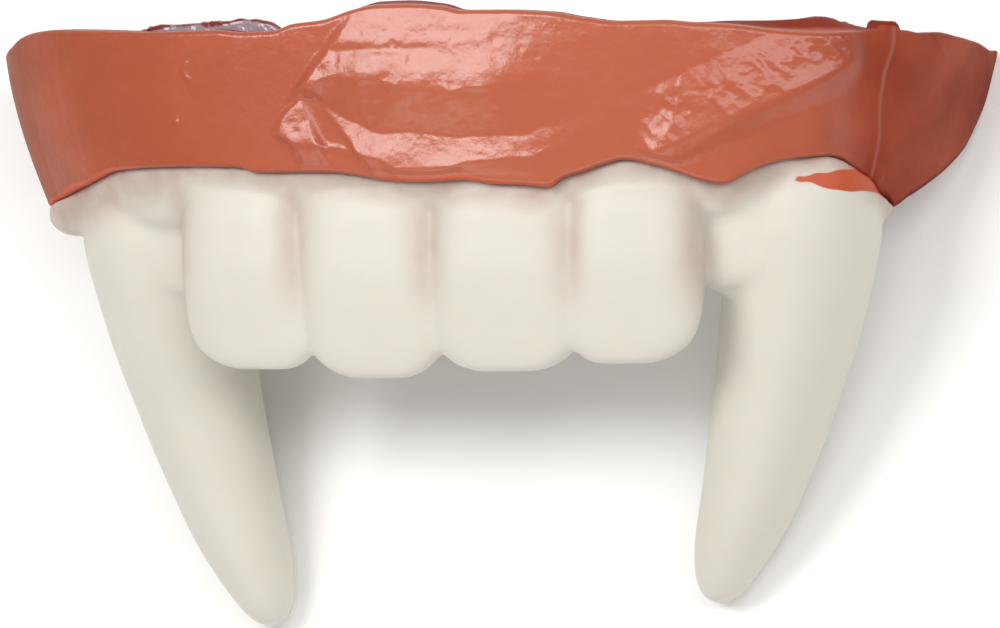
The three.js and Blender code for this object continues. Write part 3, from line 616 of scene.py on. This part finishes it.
# Rim: angle, height, and how far the back edge stands above it
RIM = np.array((
    (-86.3, 7.1, 0), (-82, 7.6, 0), (-76, 8.0, 0), (-69, 8.45, 0), (-64.2, 8.89, 0), (-60.4, 9.47, 0),
    (-56.7, 9.79, 0), (-53, 9.91, 0), (-48.9, 9.88, 0), (-43, 9.77, 0), (-39, 9.69, 0), (-31, 9.74, 0),
    (-27, 9.58, 0), (-22.8, 9.6, 0), (-19.8, 10.01, 0), (-15.4, 10.22, 0), (-10.8, 10.8, 0.1),
    (-6.9, 11.08, 0.2), (-2.9, 11.11, 0.2), (3.4, 10.93, 0.1), (6.5, 10.65, 0), (13, 10.6, 0),
    (20, 10.4, 0), (24, 10.05, 0), (29, 9.75, 0), (34, 9.75, 0), (37.5, 9.58, 0), (42, 9.39, 0.2),
    (47.7, 8.94, 0.6), (53.5, 8.72, 0.9), (57.5, 8.75, 0.4), (60, 8.8, 0.1), (64, 8.68, 0),
    (67, 8.45, 0), (69.8, 8.47, 0), (74.2, 8.16, 0), (80, 7.71, 0), (86.3, 7.1, 0),
))

# Slanted sides of the ridges and the facet: angle, the height where it is met, how many
# degrees it leans for each millimetre down, and over how many degrees it blends
UPPER_LEFT = (-12.9, 10.1, -1.75, 2.2)
LOWER_LEFT = (-16, 4.8, 1.6, 1.3)
FACET_RIGHT = (-19.2, 5.6, 0.94, 1.2)

# Low creases and strips: rise, height, the angle where it is met, fall for each degree, half
# height, and where they begin and end, each with the degrees over which they do
CREASES = (
    (-0.055, 8.3, 0, 0, 0.36, -17, 2, 0, 5),
    (0.07, 2.35, -16, 0.07, 0.25, -17, 1, -12, 3),
    (0.07, 8.2, 68.8, 0.52, 0.2, 68, 1, 71, 1),
)

# Broad forms over the roots: rise, angle, height, half width in degrees, half height
ROOTS = ((0.21, -46, 3.5, 7, 4), (0.32, 45, 5, 7, 3.5), (-0.18, 57, 5, 2.5, 5))

# The hammered patch: where it starts and ends, its middle's height at an angle and how that
# climbs for each degree, and its dents: share, stretch, size and the random values' seed
PATCH_START, PATCH_END, PATCH_BLEND = 30, 55.5, 3
PATCH_AT, PATCH_HEIGHT, PATCH_CLIMB = 33, 3.7, 0.225
DENTS = ((1, 0.6, 1.4, 11), (0.5, 0.7, 0.7, 12), (0.25, 1, 0.35, 13))

# Small marks: a bead at the seam's foot, a curved nick and a pimple on the left
BEAD_ANGLE, BEAD_HEIGHT, BEAD_RISE = 62.6, -0.35, 0.2
NICK_ANGLE, NICK_HEIGHT, NICK_RADIUS, NICK_RISE = -33.9, 7.2, 0.55, 0.09
PIMPLE_ANGLE, PIMPLE_HEIGHT, PIMPLE_SIZE, PIMPLE_RISE = -36.3, 4, 0.22, 0.1

# The facet, a slope that ends at its foot, and its left edge: height, angle
FACET_TOP, FACET_FALL, FACET_LOW, FACET_BLEND = 6, 3.4, 0.6, 1.4
FACET_LEFT = np.array(((1, -20), (2.4, -20.9), (3.3, -23.3), (4.3, -22.3), (5.7, -19.2)))

# Lines of the sculpted front, top down: angle, height
VALLEY_TOP = np.array((
    (-19, 6.0), (-12.4, 6.7), (-8.4, 6.5), (-3.2, 6.0), (2.3, 5.7), (10.1, 5.8), (14.6, 6.2), (20, 6.7),
))
VALLEY_LOW = np.array((
    (-18.8, 5.8), (-14.7, 4.8), (-12.4, 4.2), (-10.3, 3.8), (-6.6, 3.2), (-1.3, 3.2), (4.7, 2.9),
    (9.8, 2.8), (15.6, 2.9), (18.7, 3.3), (24.9, 3.8),
))
RIDGE_LOW = np.array((
    (-16.6, 2.5), (-12.7, 2.0), (-7.1, 1.4), (-3.9, 0.75), (-0.2, 0.65), (4.5, 1.0), (8.9, 1.3),
    (13.2, 1.5), (16.8, 1.6), (20.3, 2.1), (24.9, 3.3),
))

# Seam on the right: height, angle
SEAM_LINE = np.array(((-0.2, 61.2), (1.7, 61.3), (4.3, 60.6), (5.8, 60.7), (8.2, 61.8)))


def wander(u, v, size, seed):
    """Smooth random height from -1 to 1: random values on a lattice, eased from one to the next."""
    lattice = np.random.default_rng(seed).uniform(-1, 1, (512, 512))
    x, y = u / size + 200, v / size + 100
    i, j = np.floor(x).astype(int) % 511, np.floor(y).astype(int) % 511
    s, t = ease(x - np.floor(x)), ease(y - np.floor(y))
    near = lattice[i, j] * (1 - s) + lattice[i + 1, j] * s
    far = lattice[i, j + 1] * (1 - s) + lattice[i + 1, j + 1] * s
    return near * (1 - t) + far * t


def hill(x, y):
    """Round hill of height 1."""
    return np.exp(-x * x - y * y)


def beyond(side, angle, height):
    """Share that is past a slanted side, eased."""
    at, level, lean, blend = side
    return ease((angle - at - (level - height) * lean) / blend)


def sculpted(angle, height, low, high):
    """Height of the gum's face over its plain skin. A sloped shelf has its foot out: it rises
    evenly down from its upper line to its lower one, and falls back below that."""
    walked = distance_at(angle)
    shaky = wander(walked, height * 0, 0.8, 3)
    valley_top = follow(VALLEY_TOP, angle) + 0.16 * shaky
    valley_low = follow(VALLEY_LOW, angle) + 0.1 * wander(walked, height * 0, 1.1, 4)
    ridge_low = follow(RIDGE_LOW, angle) + 0.13 * wander(walked, height * 0, 0.9, 5)

    upper = np.clip(high - np.maximum(height, valley_top), 0, 5)
    valley_width = np.maximum(valley_top - valley_low, 0.8)
    upper = upper * (1 - np.clip((valley_top - height) / valley_width, 0, 1))
    upper = upper * beyond(UPPER_LEFT, angle, height)
    upper = upper * (1 - ease((angle - UPPER_END) / UPPER_FADE))

    lower = np.clip((valley_low - height) / (valley_low - ridge_low), 0, 1)
    lower = np.minimum(lower, np.clip((height - low) / np.maximum(ridge_low - low, 0.3), 0, 1))
    lower = lower * beyond(LOWER_LEFT, angle, height) * (1 - LOWER_DROP * ease((angle - 4) / 6))
    lower = lower * (1 - ease((angle - LOWER_END) / LOWER_FADE))

    facet = np.clip(FACET_TOP - height, 0, FACET_FALL) * ease((height - FACET_LOW) / 2)
    facet = facet * ease((angle - follow(FACET_LEFT, height)) / FACET_BLEND)
    facet = facet * (1 - beyond(FACET_RIGHT, angle, height))

    raised = 0
    for rise, level, at, fall, half, start, start_blend, end, end_blend in CREASES:
        crease = rise * np.exp(-(((height - level + (angle - at) * fall) / half) ** 2))
        raised = raised + crease * ease((angle - start) / start_blend) * (1 - ease((angle - end) / end_blend))
    for rise, at, level, wide, tall in ROOTS:
        raised = raised + rise * hill((angle - at) / wide, (height - level) / tall)

    across, down = walked * 0.75 + height * 0.66, walked * -0.66 + height * 0.75
    dents = 0
    for share, stretch, size, seed in DENTS:
        dents = dents + share * np.abs(wander(across, down * stretch, size, seed))
    patch_line = PATCH_HEIGHT + (angle - PATCH_AT) * PATCH_CLIMB
    fade = ease((angle - PATCH_START) / PATCH_BLEND) * (1 - ease((angle - PATCH_END) / PATCH_BLEND))
    patch = np.exp(-(((height - patch_line) / 1.9) ** 2)) * fade
    slope = np.clip((patch_line + 2 - height) / 4, 0, 1) * (1 - ease((patch_line - 2 - height) / 2))
    hammered = PATCH_RISE * slope * fade - PATCH_DEPTH * dents * patch

    pits = np.minimum(0, wander(walked, height, PIT_SIZE, 21) + 0.25)
    pits = PIT_DEPTH * pits + PIT_DEPTH * wander(walked, height * 1.3, 1.3, 22)
    pitted = pits * np.clip(np.maximum(upper / 3, np.maximum(lower, facet / 2)), 0, 1)

    rib = 1 - np.abs(walked - distance_at(follow(SEAM_LINE, height))) / SEAM_WIDTH
    seam = SEAM_RISE * ease(rib) * ease((height + 0.4) / 0.6)
    seam = seam + BEAD_RISE * hill((walked - distance_at(BEAD_ANGLE)) / 0.4, (height - BEAD_HEIGHT) / 0.35)

    from_nick = walked - distance_at(NICK_ANGLE)
    nick = (np.hypot(from_nick, height - NICK_HEIGHT) - NICK_RADIUS) / 0.15
    nick = NICK_RISE * np.exp(-(nick**2)) * ease(-from_nick / 0.4)
    from_pimple = (walked - distance_at(PIMPLE_ANGLE)) / PIMPLE_SIZE
    pimple = PIMPLE_RISE * hill(from_pimple, (height - PIMPLE_HEIGHT) / PIMPLE_SIZE)

    plain = WAVE_RISE * wander(walked, height, WAVE_SIZE, 31)
    shelves = UPPER_SLOPE * upper + LOWER_RISE * lower + FACET_SLOPE * facet
    above = ease((height - low) / 0.9)
    return (shelves + raised + hammered + pitted + nick + pimple + plain) * above + seam


def flange(angle):
    """Closed section of the flange: its face up to the rim, round the rim, down the back to the
    step over the casting's wall, down inside the lap and round the lower edge."""
    low, high, back = follow(GUM_LINE, angle), follow(RIM, angle), follow(RIM, angle, 2)
    from_tab = np.abs(angle - SEAM_ANGLE - TAB_PAST_SEAM)
    top = high + TAB_RISE * (1 - ease((from_tab - TAB_HALF) / TAB_BLEND))
    rim_round = np.minimum(RIM_ROUND, (top - low) / 5)
    edge_round = np.minimum(EDGE_ROUND, (top - low) / 5)
    wing = ease((np.abs(angle) - CASTING_ANGLE) / (WING_ANGLE - CASTING_ANGLE))
    thickness = FLANGE_THICKNESS + (WING_END_THICKNESS - FLANGE_THICKNESS) * wing
    pocket = 1 - ease((np.abs(angle) - POCKET_ANGLE + 0.3) / 0.6)
    step = pocket * LAP_STEP + (1 - pocket) * (low + (top - low) * 0.6)
    lap = pocket * LAP_THICKNESS + (1 - pocket) * thickness

    share = np.linspace(0, 1, 98)
    height = low + edge_round + (top - rim_round - low - edge_round) * share
    out = skin(angle, height) + sculpted(angle, height, low, high)
    turn = np.linspace(0, np.pi / 2, 8)
    parts = [(out, height)]
    outer, inner = out[:, -1:] - rim_round, skin(angle, top) - thickness + rim_round
    parts.append((outer + rim_round * np.cos(turn[1:]), top - rim_round + rim_round * np.sin(turn[1:])))
    flat = np.linspace(0, 1, 6)[1:]
    parts.append((outer + (inner - outer) * flat, top + back * flat))
    rounded = top + back - rim_round
    parts.append((inner - rim_round * np.sin(turn[1:]), rounded + rim_round * np.cos(turn[1:])))
    down = np.linspace(0, 1, 12)[1:]
    height = rounded + (step - rounded) * down
    parts.append((skin(angle, height) - thickness, height))
    down = np.linspace(0, 1, 12)
    height = step + (low + LAP_FOOT - step) * down
    parts.append((skin(angle, height) - lap, height))
    inner, outer = skin(angle, low) - lap + LAP_FOOT, out[:, :1] - edge_round
    flat = np.linspace(0, 1, 5)
    parts.append((inner + (outer - inner) * flat, low + 0 * flat))
    turn = np.linspace(0, np.pi / 2, 6)[1:-1]
    parts.append((outer + edge_round * np.sin(turn), low + edge_round * (1 - np.cos(turn))))
    out = np.concatenate([p[0] for p in parts], 1)
    height = np.concatenate([np.broadcast_to(p[1], p[0].shape) for p in parts], 1)
    return out, height


gum_angle = stations(-WING_ANGLE, WING_ANGLE, FLANGE_RINGS)[:, None]
gum_out, gum_height = flange(gum_angle)
gum_rings = arch(gum_angle, gum_out, gum_height)
gum = add_object("gum_flange_moulded", closed_mesh("gum_flange_moulded", gum_rings))
# What the paint follows at each point: its angle, its height over the lower edge and over the
# rim, how far it lies behind the front, how varnished it is, where paint has gathered in a
# bead along the edge, and how far it is from the seam
all_angles = np.broadcast_to(gum_angle, gum_out.shape)
set_attribute(gum.data, "angle", all_angles)
set_attribute(gum.data, "above_edge", gum_height - follow(GUM_LINE, all_angles))
behind = skin(all_angles, gum_height) - gum_out
set_attribute(gum.data, "behind", behind)
varnish = ease((62 - all_angles) / 8) * (0.05 + 0.95 * ease((all_angles + 64) / 24))
varnish = varnish * (1 - ease(behind / 0.7))
set_attribute(gum.data, "varnish", varnish)
beads = ease((all_angles + 72) / 3) * (1 - ease((all_angles + 46) / 4))
beads = beads + ease((all_angles + 9) / 4) * (1 - ease((all_angles - 18) / 3))
set_attribute(gum.data, "beads", beads)
off_seam = distance_at(all_angles) - distance_at(follow(SEAM_LINE, gum_height))
set_attribute(gum.data, "off_seam", np.abs(off_seam))
set_attribute(gum.data, "over_rim", gum_height - follow(RIM, all_angles) - follow(RIM, all_angles, 2))
shade_smooth(gum.data)

# Painted acrylic, brushed terracotta under a semi-gloss varnish: brown on the left, warmer
# towards the right, dark red on the wing and the back, with a bright bead along its edge, painted shade along
# its lowest strip and the wing's cut edge, and a painted highlight along the seam.
tree, shader, place = new_material("varnished_terracotta_paint", gum)
# The ramp's rows: place from the left wing's end to the right one's, colour.
PAINT = (
    (0.1, "#86472f"), (0.22, "#a04c2f"), (0.3, "#a84f32"), (0.42, "#ad573c"), (0.5, "#b25d41"),
    (0.66, "#b25b3f"), (0.78, "#ac553a"), (0.82, "#90371e"), (0.86, "#8c3b25"), (0.97, "#83351f"),
)
ramp = node(tree, "ShaderNodeValToRGB", {"Fac": straight(tree, read(tree, "angle"), -90, 90, 0.0, 1.0)})
while len(ramp.color_ramp.elements) < len(PAINT):
    ramp.color_ramp.elements.new(0.5)
for element, (position, code) in zip(ramp.color_ramp.elements, PAINT):
    element.position = position
    element.color = colour(code)
blotch = ranged(tree, noise(tree, place, 0.22, 3), 0.35, 0.75)
paint = mixed(tree, blotch, ramp.outputs["Color"], colour("#b4583f"))
paint = mixed(tree, 0.55, paint, ramp.outputs["Color"])
above_edge = read(tree, "above_edge")
# Darker along the lowest 0.2 mm of the edge: painted shade on the edge's rounded underside
paint = mixed(tree, ranged(tree, above_edge, 0.22, 0.02), paint, colour("#9c4328"))
bead = ranged(tree, maths(tree, "SUBTRACT", above_edge, noise(tree, place, 0.35, 2)), -0.15, -0.35)
paint = mixed(tree, maths(tree, "MULTIPLY", bead, read(tree, "beads")), paint, colour("#c04d26"))
# Dark line along the wing's cut lower edge: painted shade on the edge's thickness
on_wing = maths(tree, "SUBTRACT", 1.0, ranged(tree, read(tree, "angle"), 66, 62))
cut_edge_shade = maths(tree, "MULTIPLY", ranged(tree, above_edge, 0.45, 0.25), on_wing)
paint = mixed(tree, cut_edge_shade, paint, colour("#6b2018"))
# Painted over that: the measure it follows, where it begins, where it is full, its colour
for name, begins, full, code in (
    ("behind", 0.25, 0.7, "#862b18"),
    # Greyish-pink line along the seam: a painted highlight on the rib
    ("off_seam", 0.2, 0.06, "#97584a"),
    ("over_rim", 0.12, 0.2, "#7d2a1a"),
):
    paint = mixed(tree, ranged(tree, read(tree, name), begins, full), paint, colour(code))
tree.links.new(paint, shader.inputs["Base Color"])
shader.inputs["IOR"].default_value = 1.5
rough = straight(tree, noise(tree, place, 0.9, 3), 0.0, 1.0, 0.17, 0.3)
dull = straight(tree, read(tree, "varnish"), 0.0, 1.0, 0.3, 0.0)
tree.links.new(maths(tree, "ADD", rough, dull), shader.inputs["Roughness"])
gloss = straight(tree, read(tree, "varnish"), 0.0, 1.0, 0.1, 0.5)
tree.links.new(gloss, shader.inputs["Specular IOR Level"])
rippled(tree, shader, noise(tree, place, 1.1, 3), 0.6, 0.0001)

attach(gum, "root")
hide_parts("gum_flange")

# Fitting liner: a thin layer of soft resin behind the flange, trimmed ragged, so that its
# glossy lilac-grey edge stands above the rim on the left, with a smear of dark red on top.
LINER_THICKNESS, LINER_ANGLE, LINER_RINGS = 0.8, 62.0, 420
TOP_ROUND, TOP_RAGGED, RAGGED_SIZE = 0.2, 0.08, 0.6
LUMP_RISE, LUMP_SIZE = 0.08, 0.9
# How far the liner stands over the rim: angle, height
LINER_OVER = np.array((
    (-62, -0.6), (-46, -0.4), (-43, 0.1), (-40, 0.5), (-36.5, 0.45), (-34, 0.56), (-31, 0.6), (-28.2, 0.8),
    (-25.9, 0.74), (-23.6, 0.3), (-21.5, -0.4), (38, -0.5), (58, 0.2), (62, -0.2),
))


def liner(angle):
    """Closed section of the liner: up its front, over the ragged top and down its back."""
    walked = distance_at(angle)
    over = follow(LINER_OVER, angle) - TOP_RAGGED * np.abs(wander(walked, 0 * walked, RAGGED_SIZE, 41))
    high = follow(RIM, angle) + follow(RIM, angle, 2) + over
    up = np.linspace(0, 1, 36)
    height = LAP_STEP + (high - TOP_ROUND - LAP_STEP) * up
    front = skin(angle, height) - FLANGE_THICKNESS - SEATED_GAP
    lump = LUMP_RISE * wander(walked, height, LUMP_SIZE, 42) * ease((height - high + 2.5) / 1.5)
    turn = np.linspace(0, np.pi, 9)[1:-1]
    half = LINER_THICKNESS / 2
    top_out = front[:, -1:] + lump[:, -1:] - half + half * np.cos(turn)
    top_height = high - TOP_ROUND + TOP_ROUND * np.sin(turn)
    back = front[:, ::-1] - LINER_THICKNESS
    out = np.concatenate((front + lump, top_out, back), 1)
    return out, np.concatenate((height, top_height, height[:, ::-1]), 1)


liner_angle = stations(-LINER_ANGLE, LINER_ANGLE, LINER_RINGS)[:, None]
liner_out, liner_height = liner(liner_angle)
liner_rings = arch(liner_angle, liner_out, liner_height)
lining = add_object("fitting_liner_trimmed", closed_mesh("fitting_liner_trimmed", liner_rings))
set_attribute(lining.data, "below_top", liner_height.max(1, keepdims=True) - liner_height)
shade_smooth(lining.data)

# Soft resin, cured against the cast: glossy and faintly lilac, with ripples that glint.
tree, shader, place = new_material("glossy_soft_resin", lining)
stain = noise(tree, place, 0.8, 3)
edge = maths(tree, "SUBTRACT", read(tree, "below_top"), stain)
resin = mixed(tree, stain, colour("#8f7f88"), colour("#a89097"))
resin = mixed(tree, ranged(tree, edge, -0.15, -0.32), resin, colour("#7c2a22"))
tree.links.new(resin, shader.inputs["Base Color"])
shader.inputs["Roughness"].default_value = 0.14
shader.inputs["IOR"].default_value = 1.5
rippled(tree, shader, noise(tree, place, 1.1, 2), 0.8, 0.0003)

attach(lining, "root")
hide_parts("fitting_liner")

# Floor and soft studio light: a white sheet and an even white surround. A softbox above the
# front and a wide one on the right shine back from the gum's slopes, and a weak one below
# the teeth softens their shadows. Softboxes: name, direction, distance, width, height, glow.
FLOOR_SIZE = 3.0
SOFTBOXES = (
    ("front softbox", (-0.34, -0.87, 0.35), 420, 220, 170, 9.0),
    ("right softbox", (0.59, -0.74, 0.31), 420, 520, 140, 4.0),
    ("low fill", (-0.07, -0.66, -0.75), 420, 400, 200, 1.5),
)
SURROUND = 0.36

floor_mesh = bpy.data.meshes.new("floor")
half = FLOOR_SIZE / 2
corners = [(-half, -half, 0), (half, -half, 0), (half, half, 0), (-half, half, 0)]
floor_mesh.from_pydata(corners, [], [(0, 1, 2, 3)])
floor = add_object("floor", floor_mesh)
shader = new_material("white_paper", floor)[1]
shader.inputs["Base Color"].default_value = colour("#f7f6f4")
shader.inputs["Roughness"].default_value = 0.9
shader.inputs["Specular IOR Level"].default_value = 0.1

for name, toward, distance, width, height, glow in SOFTBOXES:
    lamp = bpy.data.lights.new(name, "AREA")
    lamp.shape = "RECTANGLE"
    lamp.size = width * 0.001
    lamp.size_y = height * 0.001
    lamp.energy = glow * np.pi * lamp.size * lamp.size_y
    facing = np.array(toward) / np.linalg.norm(toward)
    side = np.cross((0.0, 0.0, 1.0), facing)
    side = side / np.linalg.norm(side)
    softbox = add_object(name, lamp)
    softbox.matrix_world = turned(side, np.cross(facing, side), facing, facing * distance)

world = bpy.data.worlds.new("surround")
world.use_nodes = True
world.node_tree.nodes["Background"].inputs["Color"].default_value = (1, 1, 1, 1)
world.node_tree.nodes["Background"].inputs["Strength"].default_value = SURROUND
bpy.context.scene.world = world
